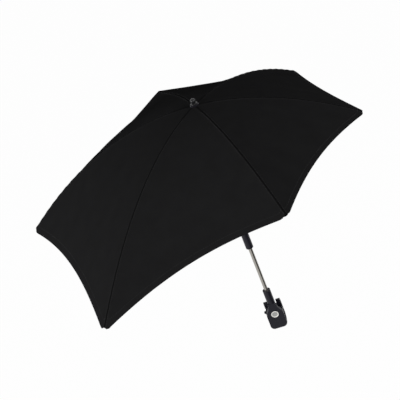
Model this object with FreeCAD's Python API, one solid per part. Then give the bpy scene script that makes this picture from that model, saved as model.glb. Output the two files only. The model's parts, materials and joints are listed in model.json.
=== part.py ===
import FreeCAD, Part
import json
import os
from math import atan2, cos, degrees, hypot, pi, radians, sin, sqrt

# Pram parasol: six curved ribs under a fabric canopy on a pole that tilts, held by a spring clip.
# Frame: origin at the centre of the clip's jaw, +Z up along the pole, +X along the jaw's axis,
# the clip's badge faces -Y. Millimetres and degrees.

V = FreeCAD.Vector

# Canopy
apex_height = 516.5
canopy_radius = 350.0
canopy_depth = 128.9
fabric_thickness = 1.0
seam_gap = 0.3
crown_hole_radius = 7.5
hem_overhang = 6.0
tip_trim_width = 60.0
rib_angles = [162.5, 226.6, 281.8, 340.0, 406.9, 461.0]
rib_reach_shares = [1.158, 1.192, 0.906, 0.84, 0.959, 0.757]
rib_outer_bow_shares = [1.0, 1.0, 1.0, 1.0, 1.0, 0.0]
hem_sag_share = 0.058
panel_rows = 11
panel_columns = 7

# Ribs, stretchers and rib tips
rib_width = 3.4
rib_height = 3.6
rib_wall = 0.7
rib_gap = 2.2
rib_eye_radius = 2.3
rib_eye_width = 2.4
pivot_circle_radius = 13.0
lug_radius = 115.0
lug_drop = 4.4
lug_width = 1.6
lug_length = 7.0
lug_hole_radius = 1.05
rivet_radius = 1.0
rivet_head_radius = 1.9
rivet_head_height = 0.8
rivet_head_gap = 0.15
stretcher_width = 2.4
stretcher_height = 3.0
stretcher_eye_radius = 1.9
fork_width = 4.6
fork_gap = 2.1
fork_length = 11.0
tip_cap_radius = 4.4
tip_cap_length = 17.0
tip_cap_overhang = 5.0
tip_cap_clearance = 0.15
tip_cap_wall = 0.3
tip_inset = 6.0

# Crown: top notch, pivot wire, finial and its washer
notch_radius = 17.0
notch_height = 9.0
notch_slot_clearance = 0.3
notch_slot_width = rib_width + 2 * notch_slot_clearance
notch_slot_floor_radius = 9.6
wire_radius = 0.8
wire_clearance = 0.05
eye_clearance = 0.35
crown_gap = 0.3
washer_radius = 8.5
washer_thickness = 1.2
finial_flange_radius = 7.0
finial_flange_height = 3.0
finial_neck_radius = 4.0
finial_neck_height = 1.0
finial_knob_radius = 5.2
finial_stud_radius = 3.0
finial_stud_length = 12.0

# Runner
runner_flange_radius = 17.0
runner_flange_height = 7.0
runner_slot_width = 3.2
runner_slot_floor_radius = 9.6
runner_barrel_radius = 8.2
runner_barrel_length = 22.0
runner_lip_radius = 10.4
runner_lip_height = 3.0
bush_wall = 1.4
bush_clearance = 0.1
fold_angle = 63.0

# Pole and tilt joint
upper_tube_radius = 5.0
lower_tube_radius = 4.0
tube_wall = 0.8
tube_clearance = 0.15
pole_turn = 9.0
tilt_height = 242.0
tilt_angle = 45.0
housing_radius = 7.6
lower_housing_length = 56.3
upper_housing_length = 36.0
housing_chamfer = 0.5
tongue_width = 6.0
tongue_radius = 7.0
tongue_clearance = 0.3
neck_clearance = 0.6
tube_seat_gap = 3.0
tilt_pin_radius = 1.6
button_radius = 3.4
button_clearance = 0.06
button_stand = 1.8
button_travel = 1.6
button_round = 0.6

# Clip: body with pole socket and front jaw, squeeze lever with rear jaw
pole_offset = 6.0
jaw_radius = 10.0
pad_thickness = 2.0
pad_clearance = 0.05
pad_width = 30.0
jaw_gap = 2.0
clip_width = 35.6
clip_front = 17.0
clip_back = 16.0
plate_thickness = 7.0
clip_bottom = 18.0
clip_corner_radius = 9.0
clip_shoulder_height = 14.0
clip_slope_height = 28.0
jaw_top = 10.5
socket_radius = 8.0
socket_top_height = 75.8
socket_floor_height = 40.0
socket_blend_height = 44.0
pin_height = 17.0
pin_offset = 1.0
pin_radius = 2.0
pin_clearance = 0.06
pin_head_radius = 3.0
pin_head_length = 4.0
knuckle_radius = 4.6
lug_inner_half_width = 11.0
knuckle_half_width = 10.6
spring_bay_half_width = 5.2
lever_ear_height = 36.4
lever_ear_inner = 8.6
lever_ear_thickness = 4.5
lever_ear_offset = 6.0
squeeze_angle = 24.0
badge_radius = 7.6
badge_thickness = 1.6
badge_recess_depth = 0.8
badge_rim_width = 1.4
badge_rim_height = 0.5
badge_clearance = 0.1
badge_height = 19.0
edge_round = 1.2
spring_wire_radius = 0.45
spring_coil_radius = 3.1
spring_pitch = 1.5
spring_turns = 5
spring_leg_length = 4.0

# Cuts run this far past the faces that they open
overrun = 1.0

os.makedirs("parts", exist_ok=True)


def export(name, shape):
    shape.exportStep("parts/" + name + ".step")


def box(x0, x1, y0, y1, z0, z1):
    return Part.makeBox(x1 - x0, y1 - y0, z1 - z0, V(x0, y0, z0))


def disc(radius, height, bottom):
    return Part.makeCylinder(radius, height, V(0, 0, bottom))


def cross_cylinder(radius, half_width, y, z):
    """A cylinder along X, centred on x = 0."""
    return Part.makeCylinder(radius, 2 * half_width, V(-half_width, y, z), V(1, 0, 0))


def on_pole(shape):
    """Moves a shape made about the Z axis onto the pole, which is turned in its socket."""
    moved = shape.copy()
    moved.rotate(V(0, 0, 0), V(0, 0, 1), pole_turn)
    moved.translate(V(0, -pole_offset, 0))
    return moved


def turned(shape, angle):
    """Turns a shape made in the XZ plane to a rib's own plane, on the pole."""
    moved = shape.copy()
    moved.rotate(V(0, 0, 0), V(0, 0, 1), angle)
    return on_pole(moved)


flatten_radius = lug_radius + lug_length


def canopy_slope(radius, outer_share=1):
    """Fall of the fabric along a rib, whose bow may flatten past its stretcher's lug."""
    inner = min(radius, flatten_radius)
    return 2 * canopy_depth / canopy_radius**2 * (inner + outer_share * (radius - inner))


def canopy_height(radius, outer_share=1):
    """Underside of the fabric above the jaw's centre, at a radius from the pole."""
    inner = min(radius, flatten_radius)
    mean_slope = (canopy_slope(inner) + canopy_slope(radius, outer_share)) / 2
    return apex_height - canopy_slope(inner) * inner / 2 - mean_slope * (radius - inner)


def bow(start, end, below, outer_share):
    """Edges along a rib's bow in the XZ plane, moved down by a distance."""
    stations = [start, end]
    if start < flatten_radius < end:
        stations.insert(1, flatten_radius)
    edges = []
    for first, last in zip(stations, stations[1:]):
        half = (last - first) / 2
        first_z = canopy_height(first, outer_share) - below
        curve = Part.BezierCurve()
        curve.setPoles(
            [
                V(first, 0, first_z),
                V(first + half, 0, first_z - canopy_slope(first, outer_share) * half),
                V(last, 0, canopy_height(last, outer_share) - below),
            ]
        )
        edges.append(curve.toShape())
    return edges


def bow_bar(start, end, top, height, width, outer_share=1):
    """Bar that follows a rib's bow, its top this far below the fabric."""
    edges = bow(start, end, top, outer_share) + bow(start, end, top + height, outer_share)
    for radius in (start, end):
        z = canopy_height(radius, outer_share) - top
        edges.append(Part.makeLine(V(radius, 0, z), V(radius, 0, z - height)))
    face = Part.Face(Part.Wire(Part.__sortEdges__(edges)))
    bar = face.extrude(V(0, width, 0))
    bar.translate(V(0, -width / 2, 0))
    return bar


def pivot_pin(radius, width, x, z):
    """Cylinder along Y in the XZ plane, for eyes, holes and rivets."""
    return Part.makeCylinder(radius, width, V(x, -width / 2, z), V(0, 1, 0))


rib_mid = rib_gap + rib_height / 2
hinge_x = pivot_circle_radius
hinge_z = canopy_height(hinge_x) - rib_mid
lug_x = lug_radius
lug_z = canopy_height(lug_radius) - rib_gap - rib_height - lug_drop
arm = hypot(lug_x - hinge_x, lug_z - hinge_z)
open_angle = degrees(atan2(lug_x - hinge_x, hinge_z - lug_z))
runner_pivot_z = hinge_z - 2 * arm * cos(radians(open_angle))
runner_travel = 2 * arm * (cos(radians(open_angle - fold_angle)) - cos(radians(open_angle)))


def rib(reach, outer_share):
    """Channel-section rib with a pivot eye at the notch and a lug for its stretcher."""
    bar = bow_bar(hinge_x, reach, rib_gap, rib_height, rib_width, outer_share)
    groove = bow_bar(
        hinge_x + 2 * rib_eye_radius,
        reach + overrun,
        rib_gap + rib_wall,
        rib_height,
        rib_width - 2 * rib_wall,
        outer_share,
    )
    root = box(
        hinge_x - rib_eye_radius - overrun,
        hinge_x + 2 * rib_eye_radius,
        -rib_width,
        rib_width,
        hinge_z - rib_height,
        hinge_z + rib_height,
    )
    neck = root.common(bow_bar(hinge_x, lug_x, rib_gap, rib_height, rib_eye_width))
    eye = pivot_pin(rib_eye_radius, rib_eye_width, hinge_x, hinge_z)
    top_trim = bow_bar(0, 2 * hinge_x, -rib_height, rib_height + rib_gap, rib_width)
    lug = box(
        lug_x - lug_length / 2,
        lug_x + lug_length / 2,
        -lug_width / 2,
        lug_width / 2,
        lug_z,
        lug_z + lug_drop + rib_height,
    ).fuse(pivot_pin(lug_length / 2, lug_width, lug_x, lug_z))
    skin = rib_gap + rib_wall / 2
    below_skin = bow_bar(hinge_x, flatten_radius, skin, 2 * lug_drop + rib_height, rib_width)
    lug = lug.common(below_skin)
    shape = bar.cut(groove).cut(root).fuse([neck, eye.cut(top_trim), lug])
    hole = pivot_pin(wire_radius + eye_clearance, 2 * rib_width, hinge_x, hinge_z)
    lug_hole = pivot_pin(lug_hole_radius, 2 * rib_width, lug_x, lug_z)
    return shape.cut(hole).cut(lug_hole).removeSplitter()


def tip_cap(reach, outer_share):
    """Round-nosed cap pushed over a rib's end."""
    slope = atan2(canopy_slope(reach, outer_share), 1)
    along = V(cos(slope), 0, -sin(slope))
    down = V(-sin(slope), 0, -cos(slope))
    half_mouth = rib_width / 2 + tip_cap_clearance
    mouth_top = sqrt(tip_cap_radius**2 - half_mouth**2) - tip_cap_wall
    drop = mouth_top - tip_cap_clearance - rib_height / 2 * cos(slope)
    end = V(reach, 0, canopy_height(reach, outer_share) - rib_mid) + down * drop
    start = end - along * (tip_cap_length - tip_cap_overhang)
    body = Part.makeCylinder(tip_cap_radius, tip_cap_length - tip_cap_radius, start, along)
    nose = Part.makeSphere(tip_cap_radius, start + along * (tip_cap_length - tip_cap_radius))
    mouth = bow_bar(
        reach - tip_cap_length,
        reach + tip_cap_clearance,
        rib_gap - tip_cap_clearance,
        rib_height + 2 * tip_cap_clearance,
        rib_width + 2 * tip_cap_clearance,
        outer_share,
    )
    return body.fuse(nose).removeSplitter().cut(mouth)


def stretcher():
    """Bar from the rib's lug to the runner, forked over the lug, in the open position."""
    shift = V(lug_x - hinge_x, 0, lug_z - runner_pivot_z)
    run = shift.Length
    half = stretcher_height / 2
    bar = box(0, run - fork_length / 2, -stretcher_width / 2, stretcher_width / 2, -half, half)
    eye = Part.makeCylinder(stretcher_eye_radius, stretcher_width, V(0, -stretcher_width / 2, 0), V(0, 1, 0))
    fork = box(run - fork_length, run, -fork_width / 2, fork_width / 2, -half, half).fuse(
        Part.makeCylinder(half, fork_width, V(run, -fork_width / 2, 0), V(0, 1, 0))
    )
    slot = box(
        run - lug_length / 2 - half,
        run + stretcher_height,
        -fork_gap / 2,
        fork_gap / 2,
        -stretcher_height,
        stretcher_height,
    )
    hole = Part.makeCylinder(lug_hole_radius, 2 * fork_width, V(run, -fork_width, 0), V(0, 1, 0))
    shape = bar.fuse([eye, fork]).cut(slot).cut(hole).removeSplitter()
    shape.rotate(V(0, 0, 0), V(0, 1, 0), -degrees(atan2(shift.z, shift.x)))
    shape.translate(V(hinge_x, 0, runner_pivot_z))
    return shape


def rivet():
    """Headed rivet through a fork and its lug."""
    head_middle = fork_width / 2 + rivet_head_gap + rivet_head_height / 2
    shank = pivot_pin(rivet_radius, 2 * head_middle, lug_x, lug_z)
    heads = [
        Part.makeCylinder(
            rivet_head_radius,
            rivet_head_height,
            V(lug_x, side * head_middle - rivet_head_height / 2, lug_z),
            V(0, 1, 0),
        )
        for side in (-1, 1)
    ]
    return shank.fuse(heads).removeSplitter()


def canopy_panel(index):
    """One gore of fabric, straight between two ribs, with a hem that curves in."""
    after = (index + 1) % len(rib_angles)
    directions, sides, reaches, outers = [], [], [], []
    for number, side in ((index, 1), (after, -1)):
        angle = radians(rib_angles[number])
        directions.append(V(cos(angle), sin(angle), 0))
        sides.append(V(-sin(angle), cos(angle), 0) * (side * seam_gap / 2))
        reaches.append(canopy_radius * rib_reach_shares[number] + hem_overhang)
        outers.append(rib_outer_bow_shares[number])
    grid = []
    for column in range(panel_columns):
        across = column / (panel_columns - 1)
        end = 1 - 4 * hem_sag_share * across * (1 - across)
        line = []
        for row in range(panel_rows):
            share = end * row / (panel_rows - 1)
            points = []
            for direction, side, reach, outer in zip(directions, sides, reaches, outers):
                radius = crown_hole_radius + share * (reach - crown_hole_radius)
                points.append(direction * radius + side + V(0, 0, canopy_height(radius, outer)))
            line.append(points[0] * (1 - across) + points[1] * across)
        grid.append(line)
    surface = Part.BSplineSurface()
    surface.interpolate(grid)
    panel = surface.toShape().extrude(V(0, 0, fabric_thickness))
    for number, reach in zip((index, after), reaches):
        trim = box(
            reach - hem_overhang,
            reach + tip_trim_width,
            -tip_trim_width / 2,
            tip_trim_width / 2,
            0,
            apex_height,
        )
        trim.rotate(V(0, 0, 0), V(0, 0, 1), rib_angles[number])
        panel = panel.cut(trim)
    return on_pole(panel)


def slotted_hub(outer, height, bottom, slot_width, slot_floor):
    """Round hub with an open slot for each rib."""
    hub = disc(outer, height, bottom)
    for angle in rib_angles:
        slot = box(
            slot_floor,
            outer + overrun,
            -slot_width / 2,
            slot_width / 2,
            bottom - overrun,
            bottom + height + overrun,
        )
        slot.rotate(V(0, 0, 0), V(0, 0, 1), angle)
        hub = hub.cut(slot)
    return hub


def top_notch():
    """Crown that the ribs pivot in, fixed on the pole's top."""
    bottom = hinge_z - notch_height / 2
    top = canopy_height(notch_radius) - crown_gap
    hub = slotted_hub(notch_radius, top - bottom, bottom, notch_slot_width, notch_slot_floor_radius)
    tunnel = Part.makeTorus(pivot_circle_radius, wire_radius + wire_clearance, V(0, 0, hinge_z))
    bore = disc(upper_tube_radius + tube_clearance, notch_height * 2, bottom - overrun)
    return on_pole(hub.cut(tunnel).cut(bore))


def notch_wire():
    return on_pole(Part.makeTorus(pivot_circle_radius, wire_radius, V(0, 0, hinge_z)))


finial_base = apex_height + fabric_thickness + washer_thickness + 2 * crown_gap


def finial():
    """Turned knob with a flange, its stud inside the pole's top."""
    flange_top = finial_base + finial_flange_height
    neck_top = flange_top + finial_neck_height
    knob_centre = neck_top + sqrt(finial_knob_radius**2 - finial_neck_radius**2)
    stud = disc(finial_stud_radius, finial_stud_length, finial_base - finial_stud_length)
    flange = disc(finial_flange_radius, finial_flange_height, finial_base)
    flange = flange.makeFillet(edge_round, [flange.Edges[0]])
    neck = disc(finial_neck_radius, finial_neck_height, flange_top)
    knob = Part.makeSphere(finial_knob_radius, V(0, 0, knob_centre))
    knob = knob.cut(disc(finial_knob_radius, finial_knob_radius, neck_top - finial_knob_radius))
    return on_pole(stud.fuse([flange, neck, knob]).removeSplitter())


def canopy_washer():
    bottom = finial_base - crown_gap - washer_thickness
    ring = disc(washer_radius, washer_thickness, bottom)
    return on_pole(ring.cut(disc(finial_stud_radius + tube_clearance, washer_thickness, bottom)))


def runner():
    """Sliding hub with a slot for each stretcher and a finger lip at its foot."""
    flange_bottom = runner_pivot_z - runner_flange_height / 2
    foot = flange_bottom - runner_barrel_length
    flange = slotted_hub(
        runner_flange_radius,
        runner_flange_height,
        flange_bottom,
        runner_slot_width,
        runner_slot_floor_radius,
    )
    barrel = disc(runner_barrel_radius, runner_barrel_length, foot)
    lip = disc(runner_lip_radius, runner_lip_height, foot)
    bore = disc(
        upper_tube_radius + bush_clearance + bush_wall,
        runner_barrel_length + runner_flange_height + 2 * overrun,
        foot - overrun,
    )
    return on_pole(barrel.fuse([flange, lip]).removeSplitter().cut(bore))


def runner_bush():
    """Friction bush in the runner, which grips the pole."""
    foot = runner_pivot_z - runner_flange_height / 2 - runner_barrel_length
    length = runner_barrel_length + runner_flange_height
    ring = disc(upper_tube_radius + bush_wall + bush_clearance - bush_clearance / 2, length, foot)
    return on_pole(ring.cut(disc(upper_tube_radius + bush_clearance / 2, length, foot)))


def tube(radius, bottom, top):
    length = top - bottom
    pipe = disc(radius, length, bottom)
    return on_pole(pipe.cut(disc(radius - tube_wall, length + 2 * overrun, bottom - overrun)))


lower_housing_bottom = tilt_height - lower_housing_length
upper_housing_top = tilt_height + upper_housing_length
upper_tube_bottom = tilt_height + tongue_radius + neck_clearance + tube_seat_gap
upper_tube_top = apex_height - crown_gap
lower_tube_top = tilt_height - tongue_radius - tongue_clearance - tube_seat_gap


def upper_tube():
    return tube(upper_tube_radius, upper_tube_bottom, upper_tube_top)


def lower_tube():
    return tube(lower_tube_radius, socket_floor_height, lower_tube_top)


def on_tilt_axis(radius, start, end):
    """Cylinder along the tilt joint's axis."""
    return Part.makeCylinder(radius, end - start, V(start, 0, tilt_height), V(1, 0, 0))


def chamfered_disc(bottom, top, chamfer_height):
    """Housing blank, its rim chamfered at one end."""
    body = disc(housing_radius, top - bottom, bottom)
    rims = [
        edge
        for edge in body.Edges
        if edge.BoundBox.ZLength < button_round and abs(edge.BoundBox.ZMax - chamfer_height) < button_round
    ]
    return body.makeChamfer(housing_chamfer, rims)


def tilt_lower_housing():
    """Sleeve on the lower tube with a fork for the upper housing's tongue."""
    stem = chamfered_disc(lower_housing_bottom, tilt_height, lower_housing_bottom)
    crown = disc(housing_radius, housing_radius, tilt_height)
    crown = crown.common(on_tilt_axis(housing_radius, -housing_radius, housing_radius))
    slot_half = tongue_width / 2 + tongue_clearance
    floor = tilt_height - tongue_radius - tongue_clearance
    reach = 2 * housing_radius
    slot = box(-slot_half, slot_half, -reach, reach, floor, tilt_height + reach)
    seat_bottom = lower_housing_bottom - overrun
    seat = disc(lower_tube_radius + tube_clearance, lower_tube_top - seat_bottom, seat_bottom)
    pin_hole = on_tilt_axis(tilt_pin_radius + button_clearance, -2 * housing_radius, 0)
    button_hole = on_tilt_axis(button_radius + button_clearance, 0, 2 * housing_radius)
    body = stem.fuse(crown).removeSplitter().cut(slot).cut(seat)
    return on_pole(body.cut(pin_hole).cut(button_hole))


def tilt_upper_housing():
    """Sleeve on the upper tube with a round tongue that turns in the fork."""
    base = tilt_height + housing_radius + neck_clearance
    sleeve = chamfered_disc(base, upper_housing_top, upper_housing_top)
    half = tongue_width / 2
    tongue = box(-half, half, -tongue_radius, tongue_radius, tilt_height, base + housing_chamfer)
    tongue = tongue.common(disc(housing_radius, upper_housing_top, 0))
    tongue = tongue.fuse(on_tilt_axis(tongue_radius, -half, half))
    seat = disc(upper_tube_radius + tube_clearance, upper_housing_top, upper_tube_bottom)
    hole = on_tilt_axis(tilt_pin_radius + button_clearance, -housing_radius, housing_radius)
    return on_pole(sleeve.fuse(tongue).removeSplitter().cut(seat).cut(hole))


def tilt_pin():
    """Pin through the fork's left ear and the tongue."""
    return on_pole(on_tilt_axis(tilt_pin_radius, -housing_radius + tongue_clearance, tongue_width / 2))


def tilt_button():
    """Press button in the fork's right ear."""
    start = tongue_width / 2 + tongue_clearance + button_travel + tongue_clearance
    body = on_tilt_axis(button_radius, start, housing_radius + button_stand)
    rims = [edge for edge in body.Edges if edge.BoundBox.XMin > housing_radius]
    return on_pole(body.makeFillet(button_round, rims))


def clip_outline():
    """Front outline of the clip: a round-cornered plate with shoulders up to the socket."""
    half = clip_width / 2
    low = -clip_bottom
    corner = clip_corner_radius
    diagonal = corner * (1 - 1 / sqrt(2))
    top = socket_blend_height

    def at(x, z):
        return V(x, 0, z)

    edges = [
        Part.LineSegment(at(-half + corner, low), at(half - corner, low)).toShape(),
        Part.Arc(
            at(half - corner, low), at(half - diagonal, low + diagonal), at(half, low + corner)
        ).toShape(),
        Part.LineSegment(at(half, low + corner), at(half, clip_shoulder_height)).toShape(),
        shoulder(1),
        Part.LineSegment(at(socket_radius, top), at(-socket_radius, top)).toShape(),
        shoulder(-1),
        Part.LineSegment(at(-half, clip_shoulder_height), at(-half, low + corner)).toShape(),
        Part.Arc(
            at(-half, low + corner), at(-half + diagonal, low + diagonal), at(-half + corner, low)
        ).toShape(),
    ]
    return Part.Face(Part.Wire(Part.__sortEdges__(edges)))


def shoulder(side):
    """Curved edge from the plate's side to the socket's side."""
    curve = Part.BezierCurve()
    curve.setPoles(
        [
            V(side * clip_width / 2, 0, clip_shoulder_height),
            V(side * clip_width / 2, 0, (clip_shoulder_height + socket_blend_height) / 2),
            V(side * socket_radius, 0, (clip_shoulder_height + socket_blend_height) / 2),
            V(side * socket_radius, 0, socket_blend_height),
        ]
    )
    return curve.toShape()


def clamp_body():
    """Front half of the clip: plate, pole socket, front jaw and hinge lugs."""
    half = clip_width / 2
    plate = clip_outline().extrude(V(0, plate_thickness, 0))
    plate.translate(V(0, -clip_front, 0))
    slope = Part.makePolygon(
        [
            V(-half, -clip_front - overrun, socket_blend_height + overrun),
            V(-half, -clip_front - overrun, clip_slope_height),
            V(-half, -clip_front, clip_slope_height),
            V(-half, -pole_offset - socket_radius, socket_blend_height),
            V(-half, -pole_offset - socket_radius, socket_blend_height + overrun),
            V(-half, -clip_front - overrun, socket_blend_height + overrun),
        ]
    )
    slope = Part.Face(slope).extrude(V(clip_width, 0, 0))
    plate = plate.cut(slope)
    front_edges = [
        edge
        for edge in plate.Edges
        if edge.BoundBox.YMax < -clip_front + plate_thickness / 2 + overrun
        and edge.BoundBox.XLength < clip_width - overrun
        and not (edge.BoundBox.ZLength < edge_round and edge.BoundBox.ZMin > 0)
    ]
    plate = plate.makeFillet(edge_round, front_edges)
    socket = Part.makeCylinder(
        socket_radius, socket_top_height - pin_height, V(0, -pole_offset, pin_height)
    )
    cut_top = socket_floor_height - 2 * pin_clearance
    socket = socket.cut(box(-half, half, -knuckle_radius - pin_clearance, half, 0, cut_top))
    throat = box(
        -socket_radius,
        socket_radius,
        -clip_front + plate_thickness - overrun,
        -pole_offset,
        clip_shoulder_height,
        socket_blend_height,
    )
    jaw_front = -clip_front + plate_thickness - overrun
    jaw_bottom = -clip_bottom + clip_corner_radius / 2
    jaw = box(-half, half, jaw_front, -jaw_gap / 2, jaw_bottom, jaw_top)
    lugs = []
    for side in (-1, 1):
        inner, outer = sorted((side * lug_inner_half_width, side * half))
        lug = box(
            inner,
            outer,
            -clip_front + plate_thickness - overrun,
            pin_offset,
            pin_height - knuckle_radius,
            pin_height + knuckle_radius,
        )
        round_end = Part.makeCylinder(
            knuckle_radius, outer - inner, V(inner, pin_offset, pin_height), V(1, 0, 0)
        )
        lugs += [lug, round_end]
    body = plate.fuse([socket, throat, jaw] + lugs).removeSplitter()
    body = body.cut(cross_cylinder(jaw_radius + pad_thickness, clip_width, 0, 0))
    body = body.cut(cross_cylinder(pin_radius + pin_clearance, clip_width, pin_offset, pin_height))
    body = body.cut(
        Part.makeCylinder(
            lower_tube_radius + pin_clearance,
            socket_top_height,
            V(0, -pole_offset, socket_floor_height),
        )
    )
    recess = Part.makeCylinder(
        badge_radius + badge_clearance,
        badge_recess_depth + overrun,
        V(0, -clip_front - overrun, badge_height),
        V(0, 1, 0),
    )
    return body.cut(recess)


def clamp_lever():
    """Rear half of the clip: two squeeze ears, hinge knuckles and the rear jaw."""
    half = clip_width / 2
    plate_front = clip_back - plate_thickness
    ear_bottom = pin_height + knuckle_radius + edge_round
    plate = box(-half, half, plate_front, clip_back, -clip_bottom + clip_corner_radius / 2, ear_bottom)
    corners = [
        edge
        for edge in plate.Edges
        if abs(edge.BoundBox.YLength - plate_thickness) < edge_round
        and edge.BoundBox.ZMax < 0
    ]
    plate = plate.makeFillet(clip_corner_radius / 2, corners)
    jaw = box(-half, half, jaw_gap / 2, plate_front + overrun, -clip_bottom + clip_corner_radius / 2, jaw_top)
    pieces = [plate, jaw]
    for side in (-1, 1):
        inner, outer = sorted((side * spring_bay_half_width, side * knuckle_half_width))
        knuckle = Part.makeCylinder(
            knuckle_radius, outer - inner, V(inner, pin_offset, pin_height), V(1, 0, 0)
        )
        web_bottom = pin_height - knuckle_radius
        web_top = pin_height + knuckle_radius
        web = box(inner, outer, pin_offset, plate_front + overrun, web_bottom, web_top)
        ear_inner, ear_outer = sorted((side * lever_ear_inner, side * half))
        ear_back = lever_ear_offset + lever_ear_thickness
        ear = box(ear_inner, ear_outer, lever_ear_offset, ear_back, ear_bottom, lever_ear_height)
        root_top = ear_bottom + lever_ear_thickness
        ear_root = box(ear_inner, ear_outer, lever_ear_offset, clip_back, ear_bottom, root_top)
        pieces += [knuckle, web, ear.fuse(ear_root)]
    body = pieces[0].fuse(pieces[1:]).removeSplitter()
    body = body.cut(cross_cylinder(jaw_radius + pad_thickness, clip_width, 0, 0))
    return body.cut(cross_cylinder(pin_radius + pin_clearance, clip_width, pin_offset, pin_height))


def grip_pad(side):
    """Rubber liner of one jaw, with ribs across the grip left to its surface."""
    outer = jaw_radius + pad_thickness - pad_clearance
    ring = cross_cylinder(outer, pad_width / 2, 0, 0).cut(cross_cylinder(jaw_radius, pad_width, 0, 0))
    near, far = sorted((side * (jaw_gap / 2 + pad_clearance), side * 2 * outer))
    return ring.common(box(-pad_width, pad_width, near, far, -2 * outer, 2 * outer)).common(
        box(-pad_width, pad_width, -2 * outer, 2 * outer, -2 * outer, jaw_top)
    )


def hinge_pin():
    """Pin through the clip's knuckles, with a head on its left end and its right end flush."""
    half = clip_width / 2
    length = clip_width + pin_head_length / 2
    shank = Part.makeCylinder(pin_radius, length, V(half, pin_offset, pin_height), V(-1, 0, 0))
    head = Part.makeCylinder(
        pin_head_radius, pin_head_length, V(-half - pin_clearance, pin_offset, pin_height), V(-1, 0, 0)
    )
    rims = [edge for edge in head.Edges if edge.BoundBox.XMax < -half - pin_head_length / 2]
    return shank.fuse(head.makeFillet(edge_round, rims)).removeSplitter()


def badge():
    """Plain dished metal disc with a raised rim."""
    back = -clip_front + badge_recess_depth - badge_clearance
    front = back - badge_thickness
    plate = Part.makeCylinder(badge_radius, badge_thickness, V(0, front, badge_height), V(0, 1, 0))
    dish = Part.makeCylinder(
        badge_radius - badge_rim_width,
        badge_rim_height + overrun,
        V(0, front - overrun, badge_height),
        V(0, 1, 0),
    )
    return plate.cut(dish)


def clamp_spring():
    """Torsion spring round the hinge pin, one unbroken wire with two legs."""
    start = -spring_pitch * spring_turns / 2

    def coil(turn):
        angle = 2 * pi * turn
        return V(
            start + spring_pitch * turn,
            pin_offset + spring_coil_radius * cos(angle),
            pin_height + spring_coil_radius * sin(angle),
        )

    quarter = 1 / 4
    edges = []
    for step in range(4 * spring_turns):
        turn = step * quarter
        edges.append(Part.Arc(coil(turn), coil(turn + quarter / 2), coil(turn + quarter)).toShape())
    path = Part.Wire(edges)
    tangent = V(0, 0, 1)
    section = Part.Wire(Part.makeCircle(spring_wire_radius, coil(0), tangent))
    wound = path.makePipeShell([section], True, False)
    lower = Part.makeCylinder(spring_wire_radius, spring_leg_length, coil(0), V(0, 0, -1))
    gap = min(
        (coil(turn * quarter / 2) - coil(turn * quarter / 2 + 1)).Length
        for turn in range(8 * (spring_turns - 1))
    )
    print("spring gap to itself", round(gap - 2 * spring_wire_radius, 2), "mm")
    return wound.fuse(lower).removeSplitter()


def build():
    export("clamp_body", clamp_body())
    export("clamp_lever", clamp_lever())
    export("clamp_hinge_pin", hinge_pin())
    export("clamp_spring", clamp_spring())
    export("clamp_front_pad", grip_pad(-1))
    export("clamp_rear_pad", grip_pad(1))
    export("clamp_badge", badge())
    export("lower_tube", lower_tube())
    export("tilt_lower_housing", tilt_lower_housing())
    export("tilt_upper_housing", tilt_upper_housing())
    export("tilt_pin", tilt_pin())
    export("tilt_button", tilt_button())
    export("upper_tube", upper_tube())
    export("top_notch", top_notch())
    export("notch_wire", notch_wire())
    export("canopy_washer", canopy_washer())
    export("finial", finial())
    export("runner", runner())
    export("runner_bush", runner_bush())
    for index, angle in enumerate(rib_angles):
        end = canopy_radius * rib_reach_shares[index] - tip_inset
        outer = rib_outer_bow_shares[index]
        number = str(index + 1)
        export("rib_" + number, turned(rib(end, outer), angle))
        export("rib_tip_" + number, turned(tip_cap(end, outer), angle))
        export("stretcher_" + number, turned(stretcher(), angle))
        export("stretcher_rivet_" + number, turned(rivet(), angle))
        export("canopy_panel_" + number, canopy_panel(index))


build()
places = {
    "pole_offset": pole_offset,
    "hinge": [hinge_x, hinge_z],
    "lug": [lug_x, lug_z],
    "runner_pivot_z": runner_pivot_z,
    "runner_travel": runner_travel,
    "open_angle": open_angle,
    "fold_angle": fold_angle,
    "rib_angles": rib_angles,
    "pin": [pin_offset, pin_height],
    "squeeze_angle": squeeze_angle,
    "tilt": [tilt_height, tilt_angle],
    "button_travel": button_travel,
    "pole_turn": pole_turn,
}
print("places", json.dumps(places))
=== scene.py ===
"""Pram parasol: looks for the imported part. Metres, in the part's own frame."""

import json
from math import atan2, cos, hypot, pi, radians, sin

import bmesh
import bpy
import numpy as np
from mathutils import Matrix, Vector


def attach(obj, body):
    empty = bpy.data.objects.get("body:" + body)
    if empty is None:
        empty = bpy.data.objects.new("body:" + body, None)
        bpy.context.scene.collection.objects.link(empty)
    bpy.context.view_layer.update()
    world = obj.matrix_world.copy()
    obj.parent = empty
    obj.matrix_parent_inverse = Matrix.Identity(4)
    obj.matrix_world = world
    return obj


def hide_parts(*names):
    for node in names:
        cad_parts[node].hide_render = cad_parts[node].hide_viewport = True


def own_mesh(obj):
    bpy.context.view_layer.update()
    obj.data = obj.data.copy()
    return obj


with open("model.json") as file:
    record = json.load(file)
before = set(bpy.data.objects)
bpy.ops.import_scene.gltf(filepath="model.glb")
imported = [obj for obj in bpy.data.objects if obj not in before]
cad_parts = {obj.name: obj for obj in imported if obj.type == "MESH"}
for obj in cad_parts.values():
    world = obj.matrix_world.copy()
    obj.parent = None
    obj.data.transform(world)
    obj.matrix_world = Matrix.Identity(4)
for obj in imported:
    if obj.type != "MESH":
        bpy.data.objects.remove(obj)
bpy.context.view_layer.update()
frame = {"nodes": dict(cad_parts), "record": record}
nodes = frame["nodes"]
scene = bpy.context.scene
scene.view_settings.view_transform = "Standard"

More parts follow.
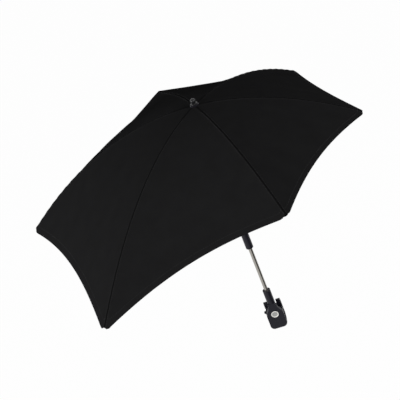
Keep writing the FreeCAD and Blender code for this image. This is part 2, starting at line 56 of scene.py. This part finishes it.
# Canopy sizes, the same as the solids have. A reach is how far a rib's tip lies from the pole.
POLE_Y = -0.006
POLE = np.array([0, POLE_Y, 0])
POLE_TURN = 9.0
APEX = 0.5165
RADIUS = 0.35
DEPTH = 0.1289
CROWN = 0.0075
RIB_ANGLES = [radians(a + POLE_TURN) for a in (162.5, 226.6, 281.8, 340.0, 406.9, 461.0)]
REACHES = [RADIUS * s for s in (1.158, 1.192, 0.906, 0.84, 0.959, 0.757)]
OUTER_BOWS = [1.0, 1.0, 1.0, 1.0, 1.0, 0.0]
FLATTEN = 0.122
HEM_SAG = 0.058
COUNT = len(RIB_ANGLES)

# Cloth: thickness, a little less than the solids have, grid, billow of each gore, blunt corners,
# tones, thread, seams with a line of painted shade, puckers along the seams, pulls across the
# gores, and hem. A power draws grid lines together, or sets where along the cloth a form shows.
CLOTH = 0.0008
ALONG = 72
ALONG_POWER = 1.12
ACROSS = 22
ACROSS_POWER = 1.6
BILLOWS = [0.0, 0.0, 0.0, 0.0, -0.003, 0.009]
BILLOW_POWER = 1.5
TIP_BLUNT = 0.006
CLOTH_TONES = (0.93, 1.09)
THREAD_PITCH = 0.0011
# Painted shade along each seam: the span off the seam line over which the cloth's colour darkens, and the
# darkest share it reaches
SEAM_SHADE_SPAN = (0.0007, 0.0022)
SEAM_SHADE_TONE = 0.45
SEAM_WIDTH = 0.0032
SEAM_EDGE = 1.6
SEAM_RISE = 0.0005
PUCKER_RISE = 0.0004
PUCKER_REACH = 0.009
PUCKER_PITCH = 0.019
PUCKER_ONSET = 3
PULL_RISE = 0.0011
PULL_POWER = 3
PULL_FADE_POWER = 10
PULLS_A_GORE = 5.5
PULL_SHIFT = 0.35
HEM_WIDTH = 0.0085
HEM_EDGE = 1.8
HEM_RISE = 0.0005
HEM_ROLL = 0.7 * CLOTH

# Stitches, in two rows beside each seam and one row along the hem
STITCH_LENGTH = 0.0026
STITCH_GAP = 0.0012
STITCH_WIDTH = 0.00032
STITCH_HEIGHT = 0.00022
STITCH_ROWS = (-0.0024, 0.0024)
FIRST_STITCHED = 6
HEM_STITCHED = -4

# Cloth pouches round the rib tips
POUCH_LENGTH = 0.026
POUCH_NOSE = 0.0008
POUCH_HALF_WIDTH = 0.0076
POUCH_HALF_HEIGHT = 0.0056
POUCH_DROP = 0.0052
POUCH_CLOTH = 0.0007
POUCH_ROUND_FROM = 0.62
POUCH_ROUND_POWER = 2.6
POUCH_MOUTH = 0.93
POUCH_SWELL = 0.07
POUCH_SIDES = 24
POUCH_STEPS = 15
LEAST_RADIUS = 0.0001

# Badge on the clip
BADGE_CENTRE = (0.0, 0.019)
BADGE_DISH = 0.0061
TURNING_PITCH = 0.0004

# Studio
WORLD_AS_LIGHT = 0.2
WORLD_SEEN = 1.0
FLOOR_Z = -1.4
FLOOR_HALF = 12
PAPER_SHADE = 0.85
PAPER_GLOW = 0.98
FLAG_SHADE = 0.02
FLAG_Z = -1.35
FLAG_X = (0.6, 6.5)
FLAG_Y = (-4.2, 0.3)
AIM = (0, 0, 0.4)


# Materials


class Nodes:
    """A material's node tree, with short ways to add and join nodes."""

    def __init__(self, name):
        self.material = bpy.data.materials.new(name)
        self.material.use_nodes = True
        self.tree = self.material.node_tree
        self.shader = self.tree.nodes["Principled BSDF"]

    def add(self, kind, **values):
        node = self.tree.nodes.new(kind)
        for key, value in values.items():
            if key in node.inputs:
                node.inputs[key].default_value = value
            else:
                setattr(node, key, value)
        return node

    def join(self, out, into):
        self.tree.links.new(out, into)

    def set(self, **values):
        for key, value in values.items():
            self.shader.inputs[key.replace("_", " ")].default_value = value

    def math(self, operation, first, second=None):
        node = self.add("ShaderNodeMath", operation=operation)
        for slot, value in enumerate((first, second)):
            if value is None:
                continue
            if isinstance(value, (int, float)):
                node.inputs[slot].default_value = value
            else:
                self.join(value, node.inputs[slot])
        return node.outputs[0]

    def noise(self, coordinates, scale, detail=3.0):
        node = self.add("ShaderNodeTexNoise", Scale=scale, Detail=detail)
        self.join(coordinates, node.inputs["Vector"])
        return node.outputs["Fac"]

    def ramp(self, value, low, high, start=0.3, end=0.7):
        node = self.add("ShaderNodeValToRGB")
        node.color_ramp.elements[0].position = start
        node.color_ramp.elements[1].position = end
        node.color_ramp.elements[0].color = (*low, 1)
        node.color_ramp.elements[1].color = (*high, 1)
        self.join(value, node.inputs["Fac"])
        return node.outputs["Color"]

    def span(self, value, low, high):
        node = self.add("ShaderNodeMapRange")
        node.inputs["To Min"].default_value = low
        node.inputs["To Max"].default_value = high
        self.join(value, node.inputs["Value"])
        return node.outputs["Result"]

    def bump(self, height, strength, distance):
        node = self.add("ShaderNodeBump", Strength=strength, Distance=distance)
        self.join(height, node.inputs["Height"])
        self.join(node.outputs["Normal"], self.shader.inputs["Normal"])


def place(m):
    return m.add("ShaderNodeTexCoord").outputs["Object"]


def woven_cloth(name, shade):
    """Plain-weave cloth: crossed threads, slight mottling and a line of painted shade along the seam,
    standing in for the shading of its groove.
    """
    m = Nodes(name)
    uv = m.add("ShaderNodeUVMap", uv_map="cloth").outputs["UV"]
    split = m.add("ShaderNodeSeparateXYZ")
    m.join(uv, split.inputs[0])
    thread = 2 * pi / THREAD_PITCH
    warp = m.math("SINE", m.math("MULTIPLY", split.outputs["X"], thread))
    weft = m.math("SINE", m.math("MULTIPLY", split.outputs["Y"], thread))
    weave = m.math("MULTIPLY", warp, weft)
    where = place(m)
    mottle = m.noise(where, scale=35.0, detail=4.0)
    slub = m.noise(where, scale=900.0, detail=2.0)
    low = tuple(shade * CLOTH_TONES[0] * t for t in (1.0, 0.99, 1.02))
    high = tuple(shade * CLOTH_TONES[1] * t for t in (1.0, 1.0, 1.03))
    blend = m.math("ADD", m.math("MULTIPLY", mottle, 0.7), m.math("MULTIPLY", slub, 0.3))
    # Painted shade: the colour darkens along the seam line, standing in for the shade in the seam's groove
    off_seam = m.math("ABSOLUTE", split.outputs["X"])
    seam = m.add("ShaderNodeMapRange")
    for key, value in zip(("From Min", "From Max", "To Min", "To Max"), (*SEAM_SHADE_SPAN, SEAM_SHADE_TONE, 1.0)):
        seam.inputs[key].default_value = value
    m.join(off_seam, seam.inputs["Value"])
    tone = m.add("ShaderNodeVectorMath", operation="SCALE")
    m.join(m.ramp(blend, low, high), tone.inputs[0])
    m.join(seam.outputs["Result"], tone.inputs["Scale"])
    m.join(tone.outputs[0], m.shader.inputs["Base Color"])
    m.join(m.span(slub, low=0.78, high=0.92), m.shader.inputs["Roughness"])
    height = m.math("ADD", m.math("MULTIPLY", weave, 0.6), m.math("MULTIPLY", slub, 0.5))
    m.bump(height, strength=0.25, distance=0.0004)
    m.set(Specular_IOR_Level=0.0)
    return m.material


def moulded_plastic(name, shade, rough, grain=1.0):
    """Moulded plastic: fine spark grain, faint flow marks and worn gloss."""
    m = Nodes(name)
    where = place(m)
    fine = m.noise(where, scale=2600.0, detail=2.0)
    flow = m.noise(where, scale=60.0, detail=4.0)
    low = tuple(0.85 * c for c in shade)
    high = tuple(1.15 * c for c in shade)
    m.join(m.ramp(flow, low, high), m.shader.inputs["Base Color"])
    m.join(m.span(flow, low=rough - 0.05, high=rough + 0.07), m.shader.inputs["Roughness"])
    m.bump(fine, strength=0.12 * grain, distance=0.0002)
    m.set(Specular_IOR_Level=0.2)
    return m.material


def drawn_steel(name, shade, rough, stretch):
    """Drawn or brushed steel: fine lines along one axis, with slight tarnish."""
    m = Nodes(name)
    mapping = m.add("ShaderNodeMapping")
    mapping.inputs["Scale"].default_value = stretch
    m.join(place(m), mapping.inputs["Vector"])
    lines = m.noise(mapping.outputs["Vector"], scale=1.0, detail=4.0)
    stain = m.noise(place(m), scale=45.0, detail=3.0)
    m.join(m.ramp(stain, tuple(0.9 * c for c in shade), shade), m.shader.inputs["Base Color"])
    m.join(m.span(lines, low=rough - 0.06, high=rough + 0.1), m.shader.inputs["Roughness"])
    m.bump(lines, strength=0.06, distance=0.0001)
    m.set(Metallic=1.0)
    return m.material


def lacquered_steel(name, shade):
    """Black lacquer on steel channel: slight orange peel and scuffs."""
    m = Nodes(name)
    where = place(m)
    peel = m.noise(where, scale=700.0, detail=2.0)
    scuff = m.noise(where, scale=120.0, detail=5.0)
    worn = tuple(1.5 * c for c in shade)
    m.join(m.ramp(scuff, shade, worn, start=0.45, end=0.75), m.shader.inputs["Base Color"])
    m.join(m.span(scuff, low=0.3, high=0.45), m.shader.inputs["Roughness"])
    m.bump(peel, strength=0.08, distance=0.0002)
    m.set(Coat_Weight=0.2)
    return m.material


def grip_rubber(name):
    """Soft rubber with a fine blasted face."""
    m = Nodes(name)
    where = place(m)
    fine = m.noise(where, scale=1800.0, detail=3.0)
    dust = m.noise(where, scale=90.0, detail=4.0)
    m.join(m.ramp(dust, (0.018, 0.018, 0.018), (0.034, 0.034, 0.034)), m.shader.inputs["Base Color"])
    m.join(m.span(fine, low=0.75, high=0.92), m.shader.inputs["Roughness"])
    m.bump(fine, strength=0.2, distance=0.0003)
    return m.material


def badge_metal(name, centre, rim):
    """Turned rim painted near white, standing in for its bright reflection, round a dish painted darker as
    its shade, with fine turning rings.
    """
    m = Nodes(name)
    split = m.add("ShaderNodeSeparateXYZ")
    m.join(place(m), split.inputs[0])
    across = m.math("SUBTRACT", split.outputs["X"], centre[0])
    rise = m.math("SUBTRACT", split.outputs["Z"], centre[1])
    squares = m.math("ADD", m.math("POWER", across, 2.0), m.math("POWER", rise, 2.0))
    radius = m.math("SQRT", squares)
    share = m.math("DIVIDE", radius, rim)
    # Painted light: the dish is painted dark as shade, and the rim near white as the reflection of the
    # turned metal
    painted_dish_shade, painted_rim_reflection = (0.36, 0.36, 0.35), (0.9, 0.89, 0.85)
    m.join(m.ramp(share, painted_dish_shade, painted_rim_reflection, start=0.93, end=1.0), m.shader.inputs["Base Color"])
    rings = m.math("SINE", m.math("MULTIPLY", radius, 2 * pi / TURNING_PITCH))
    m.join(m.span(rings, low=0.26, high=0.36), m.shader.inputs["Roughness"])
    m.bump(rings, strength=0.05, distance=0.0001)
    m.set(Metallic=0.15)
    return m.material


CLOTH_BLACK = woven_cloth("canopy_cloth", shade=0.0118)
THREAD = moulded_plastic("stitch_thread", shade=(0.02, 0.02, 0.021), rough=0.7)
PLASTIC = moulded_plastic("black_plastic", shade=(0.0078, 0.0074, 0.0122), rough=0.42)
GLOSS = moulded_plastic("gloss_black", shade=(0.012, 0.012, 0.013), rough=0.24, grain=0.15)
TUBE = drawn_steel("tube_steel", shade=(0.37, 0.355, 0.325), rough=0.27, stretch=(900, 900, 8))
STEEL = drawn_steel("small_steel", shade=(0.55, 0.55, 0.55), rough=0.3, stretch=(500, 500, 500))
BADGE = badge_metal("badge_metal", BADGE_CENTRE, BADGE_DISH)
RIB = lacquered_steel("rib_steel", shade=(0.018, 0.018, 0.019))
RUBBER = grip_rubber("grip_rubber")

FINISHES = {"black_plastic": PLASTIC, "gloss_black": GLOSS, "tube_steel": TUBE, "small_steel": STEEL,
            "badge_metal": BADGE, "rib_steel": RIB, "grip_rubber": RUBBER, "canopy": CLOTH_BLACK}
for entry in frame["record"]["subparts"]:
    mesh = nodes[entry["node"]].data
    mesh.materials.clear()
    mesh.materials.append(FINISHES[entry["material_slot"]])


# Canopy


def sideways(rib):
    """Level direction square to a rib."""
    angle = RIB_ANGLES[rib]
    return np.array([-sin(angle), cos(angle), 0])


def slope_at(radius, rib):
    """Fall of the cloth along a rib, whose bow may flatten past its stretcher."""
    inner = np.minimum(radius, FLATTEN)
    return 2 * DEPTH / RADIUS**2 * (inner + OUTER_BOWS[rib] * (radius - inner))


def profile(radius, rib):
    """Underside of the cloth at a radius from the pole, along a rib."""
    inner = np.minimum(radius, FLATTEN)
    mean = (slope_at(inner, rib) + slope_at(radius, rib)) / 2
    return APEX - DEPTH * (inner / RADIUS) ** 2 - mean * (radius - inner)


def gore(index, across, along):
    """Points of one gore's underside, from its first rib (0) to its second (1), crown to hem."""
    after = (index + 1) % COUNT
    off_rib = np.minimum(across, 1 - across) * RADIUS
    blunt = TIP_BLUNT / RADIUS * (1 - np.exp(-((off_rib / TIP_BLUNT) ** 2)))
    end = 1 - 4 * HEM_SAG * across * (1 - across) + blunt
    share = end * along
    ends = []
    for rib in (index, after):
        angle = RIB_ANGLES[rib]
        radius = CROWN + share * (REACHES[rib] - CROWN)
        ends.append(np.stack([radius * cos(angle), radius * sin(angle) + POLE_Y, profile(radius, rib)], -1))
    weight = across[..., None]
    points = ends[0] * (1 - weight) + ends[1] * weight
    billow = BILLOWS[index] * np.sin(pi * across)
    points[..., 2] += billow * np.sin(pi * np.clip(along, 0, 1) ** BILLOW_POWER)
    return points


def spread(number):
    """Shares from a rib to the middle of its gore, closer together near the rib."""
    step = np.linspace(0, 1, number)
    return 0.5 * step**ACROSS_POWER


def relief(points, rib, index, across, along):
    """Height of seams, hem and slight pulls in the cloth above the plain sheet."""
    off = np.abs((points - POLE) @ sideways(rib))
    radius = np.hypot(points[..., 0], points[..., 1] - POLE_Y)
    seam = SEAM_RISE * np.clip(SEAM_EDGE - off / SEAM_WIDTH, 0, 1)
    pucker = PUCKER_RISE * np.exp(-off / PUCKER_REACH) * np.sin(radius * 2 * pi / PUCKER_PITCH + rib)
    middle = np.minimum(across, 1 - across)
    pull = PULL_RISE * np.sin(pi * np.clip(middle * 2, 0, 1))
    pull = pull * along**PULL_POWER * (1 - along**PULL_FADE_POWER)
    pull = pull * np.sin(2 * pi * (PULLS_A_GORE * across + PULL_SHIFT * index))
    to_hem = (1 - along) * radius.max()
    hem = HEM_RISE * np.clip(HEM_EDGE - to_hem / HEM_WIDTH, 0, 1)
    return seam + pucker * np.clip(along * PUCKER_ONSET, 0, 1) + pull + hem


def sector(rib):
    """Grid of the cloth either side of one rib, out to the middles of its two gores."""
    before = (rib - 1) % COUNT
    along = 1 - (1 - np.linspace(0, 1, ALONG)) ** ALONG_POWER
    near = spread(ACROSS)
    beyond = near[-1] + (near[-1] - near[-2])
    near = np.append(near, beyond)
    left_v, left_s = np.meshgrid(1 - near[:0:-1], along, indexing="ij")
    right_v, right_s = np.meshgrid(near, along, indexing="ij")
    left = gore(before, left_v, left_s)
    right = gore(rib, right_v, right_s)
    left[..., 2] += relief(left, rib, before, left_v, left_s)
    right[..., 2] += relief(right, rib, rib, right_v, right_s)
    return np.concatenate([left, right])


def grid_normals(points):
    """Unit normals of a grid, from the points either side, the same for both neighbours."""
    one = np.gradient(points, axis=0)
    two = np.gradient(points, axis=1)
    normal = np.cross(two, one)
    normal *= np.sign(normal[..., 2:3])
    return normal / np.linalg.norm(normal, axis=-1, keepdims=True)


def grid_area(points):
    """Area of a grid, as two triangles to each of its cells."""
    near, far = points[:-1, :-1], points[1:, 1:]
    one, two = points[1:, :-1], points[:-1, 1:]
    first = np.linalg.norm(np.cross(one - near, two - near), axis=-1)
    second = np.linalg.norm(np.cross(two - far, one - far), axis=-1)
    return float((first.sum() + second.sum()) / 2)


def mesh_object(name, points, faces, material):
    mesh = bpy.data.meshes.new(name)
    mesh.from_pydata([tuple(p) for p in points], [], faces)
    mesh.materials.append(material)
    item = bpy.data.objects.new(name, mesh)
    scene.collection.objects.link(item)
    return item


def face_outwards(mesh):
    edit = bmesh.new()
    edit.from_mesh(mesh)
    bmesh.ops.recalc_face_normals(edit, faces=edit.faces)
    edit.to_mesh(mesh)
    edit.free()


def grid_faces(rows, columns, first=0, flip=False):
    faces = []
    for i in range(rows - 1):
        for j in range(columns - 1):
            face = (i * columns + j, i * columns + j + 1, (i + 1) * columns + j + 1, (i + 1) * columns + j)
            face = tuple(first + k for k in face)
            faces.append(face[::-1] if flip else face)
    return faces


def canopy_sector(rib):
    """One rib's share of the cloth: upper face, lower face and a rolled hem edge."""
    wide = sector(rib)
    normals = grid_normals(wide)[1:-1]
    under = wide[1:-1]
    rows, columns = under.shape[:2]
    top = under + normals * CLOTH
    total = rows * columns
    hem_top, hem_low = top[:, -1], under[:, -1]
    roll = (hem_top + hem_low) / 2
    outward = roll - under[:, -2]
    outward /= np.linalg.norm(outward, axis=1, keepdims=True)
    roll = roll + outward * HEM_ROLL
    points = np.concatenate([top.reshape(-1, 3), under.reshape(-1, 3), roll])
    faces = grid_faces(rows, columns, flip=True) + grid_faces(rows, columns, total)
    for i in range(rows - 1):
        a, b = (i + 1) * columns - 1, (i + 2) * columns - 1
        c, d = 2 * total + i, 2 * total + i + 1
        faces += [(a, c, d, b), (c, a + total, b + total, d)]
        e, f = i * columns, (i + 1) * columns
        faces.append((e, f, f + total, e + total))
    for i in (0, rows - 1):
        last = (i + 1) * columns - 1
        faces.append((last, 2 * total + i, last + total))
        for j in range(i * columns, last):
            faces.append((j, j + 1, j + 1 + total, j + total))
    item = mesh_object("canopy_cloth_%d" % (rib + 1), points, faces, CLOTH_BLACK)
    mesh = item.data
    face_outwards(mesh)
    mesh.shade_smooth()
    flat_normals = np.concatenate([normals.reshape(-1, 3), -normals.reshape(-1, 3), outward])
    mesh.normals_split_custom_set_from_vertices([tuple(n) for n in flat_normals])
    angle = RIB_ANGLES[rib]
    layer = mesh.uv_layers.new(name="cloth")
    plan = points - POLE
    u = plan @ sideways(rib)
    v = plan @ np.array([cos(angle), sin(angle), 0])
    corners = np.array([loop.vertex_index for loop in mesh.loops])
    layer.data.foreach_set("uv", np.stack([u[corners], v[corners]], -1).ravel())
    return item, grid_area(under), top, normals


def stitches(name, lines, material):
    """Rows of short raised stitches along lines of points with their normals."""
    points, faces = [], []
    for line, normal in lines:
        steps = np.linalg.norm(np.diff(line, axis=0), axis=1)
        reach = np.concatenate([[0], np.cumsum(steps)])
        places = np.arange(STITCH_LENGTH, reach[-1] - STITCH_LENGTH, STITCH_LENGTH + STITCH_GAP)
        for start in places:
            a = np.array([np.interp(start, reach, line[:, k]) for k in range(3)])
            b = np.array([np.interp(start + STITCH_LENGTH, reach, line[:, k]) for k in range(3)])
            up = np.array([np.interp(start, reach, normal[:, k]) for k in range(3)])
            side = np.cross(b - a, up)
            side *= STITCH_WIDTH / np.linalg.norm(side)
            middle = (a + b) / 2
            first = len(points)
            points += [a, middle + side, b, middle - side, middle + up * STITCH_HEIGHT]
            faces += [(first + i, first + (i + 1) % 4, first + 4) for i in range(4)]
            faces.append((first + 3, first + 2, first + 1, first))
    return mesh_object(name, points, faces, material)


def follow_rib(item, rib):
    """Rides on a rib, with a mesh of its own."""
    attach(item, "rib_%d" % (rib + 1))
    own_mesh(item)


def tip_pocket(rib):
    """Small sewn pouch of cloth that holds a rib's tip under the canopy's corner."""
    angle = RIB_ANGLES[rib]
    reach = REACHES[rib]
    slope = np.arctan(slope_at(reach, rib))
    shares = [i / (POUCH_STEPS - 1) for i in range(POUCH_STEPS)]
    layers = [(0.0, t) for t in shares] + [(POUCH_CLOTH, t) for t in reversed(shares)]
    points = []
    for inset, t in layers:
        back = -POUCH_LENGTH + (POUCH_LENGTH + POUCH_NOSE - inset) * t
        rounding = max(t - POUCH_ROUND_FROM, 0) / (1 - POUCH_ROUND_FROM)
        size = np.sqrt(max(1 - rounding**POUCH_ROUND_POWER, 0.0)) * (POUCH_MOUTH + POUCH_SWELL * t)
        for j in range(POUCH_SIDES):
            turn = 2 * pi * j / POUCH_SIDES
            across = max(size * POUCH_HALF_WIDTH - inset, LEAST_RADIUS) * cos(turn)
            rise = max(size * POUCH_HALF_HEIGHT - inset, LEAST_RADIUS) * sin(turn) - POUCH_DROP
            out = reach + back * cos(slope) + rise * sin(slope)
            x = out * cos(angle) - across * sin(angle)
            y = out * sin(angle) + across * cos(angle) + POLE_Y
            points.append((x, y, profile(reach, rib) - back * sin(slope) + rise * cos(slope)))
    faces = []
    for i in range(len(layers)):
        first, after = i * POUCH_SIDES, (i + 1) % len(layers) * POUCH_SIDES
        for j in range(POUCH_SIDES):
            k = (j + 1) % POUCH_SIDES
            faces.append((first + j, first + k, after + k, after + j))
    item = mesh_object("tip_pocket_%d" % (rib + 1), points, faces, CLOTH_BLACK)
    face_outwards(item.data)
    item.data.shade_smooth()
    layer = item.data.uv_layers.new(name="cloth")
    for loop in item.data.loops:
        co = item.data.vertices[loop.vertex_index].co
        layer.data[loop.index].uv = (co.x, co.z)
    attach(item, "rib_%d" % (rib + 1))
    return item


def stitched_lines(rib, top, normals):
    """Lines that are sewn on one rib's cloth, each with its normals."""
    offsets = (top - POLE) @ sideways(rib)
    lines = []
    for row in STITCH_ROWS:
        line, line_normals = [], []
        for j in range(FIRST_STITCHED, ALONG):
            order = np.argsort(offsets[:, j])
            line.append([np.interp(row, offsets[order, j], top[order, j, k]) for k in range(3)])
            line_normals.append([np.interp(row, offsets[order, j], normals[order, j, k]) for k in range(3)])
        lines.append((np.array(line), np.array(line_normals)))
    lines.append((top[:, HEM_STITCHED], normals[:, HEM_STITCHED]))
    return lines


for rib in range(COUNT):
    cloth, area, top, normals = canopy_sector(rib)
    thread = stitches("canopy_stitching_%d" % (rib + 1), stitched_lines(rib, top, normals), THREAD)
    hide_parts("canopy_panel_%d" % (rib + 1))
    follow_rib(cloth, rib)
    follow_rib(thread, rib)
    pocket = tip_pocket(rib)


# Camera, as the photograph was taken
eye = Vector((0.22293, -1.78183, 1.29406))
right = Vector((0.94308, -0.03212, -0.33102))
up = Vector((0.30299, 0.49338, 0.81534))
back = Vector((0.13713, -0.86922, 0.47503))
camera = bpy.data.objects.new("camera", bpy.data.cameras.new("camera"))
camera.data.sensor_width = 36
camera.data.lens = 94.37
camera.matrix_world = Matrix.Translation(eye) @ Matrix((right, up, back)).transposed().to_4x4()
scene.collection.objects.link(camera)
scene.camera = camera


# Light, floor and backdrop


def area_light(name, location, size, power):
    light = bpy.data.lights.new(name, "AREA")
    light.size = size
    light.energy = power
    item = bpy.data.objects.new(name, light)
    item.location = location
    item.rotation_euler = (Vector(AIM) - Vector(location)).to_track_quat("-Z", "Y").to_euler()
    scene.collection.objects.link(item)


def studio_world():
    """White where the camera, a mirror or a clear piece looks, and dim as a light."""
    world = bpy.data.worlds.new("studio")
    scene.world = world
    world.use_nodes = True
    tree = world.node_tree
    backdrop = tree.nodes["Background"]
    path = tree.nodes.new("ShaderNodeLightPath")
    seen = path.outputs["Is Camera Ray"]
    for ray in ("Is Transmission Ray", "Is Glossy Ray"):
        either = tree.nodes.new("ShaderNodeMath")
        either.operation = "MAXIMUM"
        tree.links.new(seen, either.inputs[0])
        tree.links.new(path.outputs[ray], either.inputs[1])
        seen = either.outputs[0]
    strength = tree.nodes.new("ShaderNodeMapRange")
    strength.inputs["To Min"].default_value = WORLD_AS_LIGHT
    strength.inputs["To Max"].default_value = WORLD_SEEN
    tree.links.new(seen, strength.inputs["Value"])
    tree.links.new(strength.outputs["Result"], backdrop.inputs["Strength"])
    backdrop.inputs["Color"].default_value = (1, 1, 1, 1)


def white_paper():
    """Pale paper that shows white to the camera and in mirrors, with a little of its shading."""
    m = Nodes("floor_paper")
    m.set(Base_Color=(PAPER_SHADE, PAPER_SHADE, PAPER_SHADE, 1), Roughness=0.9)
    glow = m.add("ShaderNodeEmission", Strength=1.0)
    mix = m.add("ShaderNodeMixShader")
    rays = m.add("ShaderNodeLightPath")
    shown = m.math("MAXIMUM", rays.outputs["Is Camera Ray"], rays.outputs["Is Glossy Ray"])
    m.join(m.math("MULTIPLY", shown, PAPER_GLOW), mix.inputs[0])
    m.join(m.shader.outputs[0], mix.inputs[1])
    m.join(glow.outputs[0], mix.inputs[2])
    m.join(mix.outputs[0], m.tree.nodes["Material Output"].inputs["Surface"])
    return m.material


def dark_felt():
    m = Nodes("flag_felt")
    m.set(Base_Color=(FLAG_SHADE, FLAG_SHADE, FLAG_SHADE, 1), Roughness=1.0)
    return m.material


def level_card(name, x, y, z, material):
    corners = [(x[0], y[0], z), (x[1], y[0], z), (x[1], y[1], z), (x[0], y[1], z)]
    return mesh_object(name, corners, [(0, 1, 2, 3)], material)


area_light("key", location=(-2.9, -1.6, 1.1), size=1.4, power=110)
area_light("fill", location=(2.6, -1.2, 1.5), size=1.6, power=60)
area_light("top", location=(0.1, -0.9, 2.5), size=1.6, power=5)
studio_world()

wide = (-FLOOR_HALF, FLOOR_HALF)
floor = level_card("floor", wide, wide, FLOOR_Z, white_paper())

# A dark card over the floor, out of the camera's sight, is mirrored on the right of the tube
flag = level_card("flag", FLAG_X, FLAG_Y, FLAG_Z, dark_felt())
flag.visible_camera = False
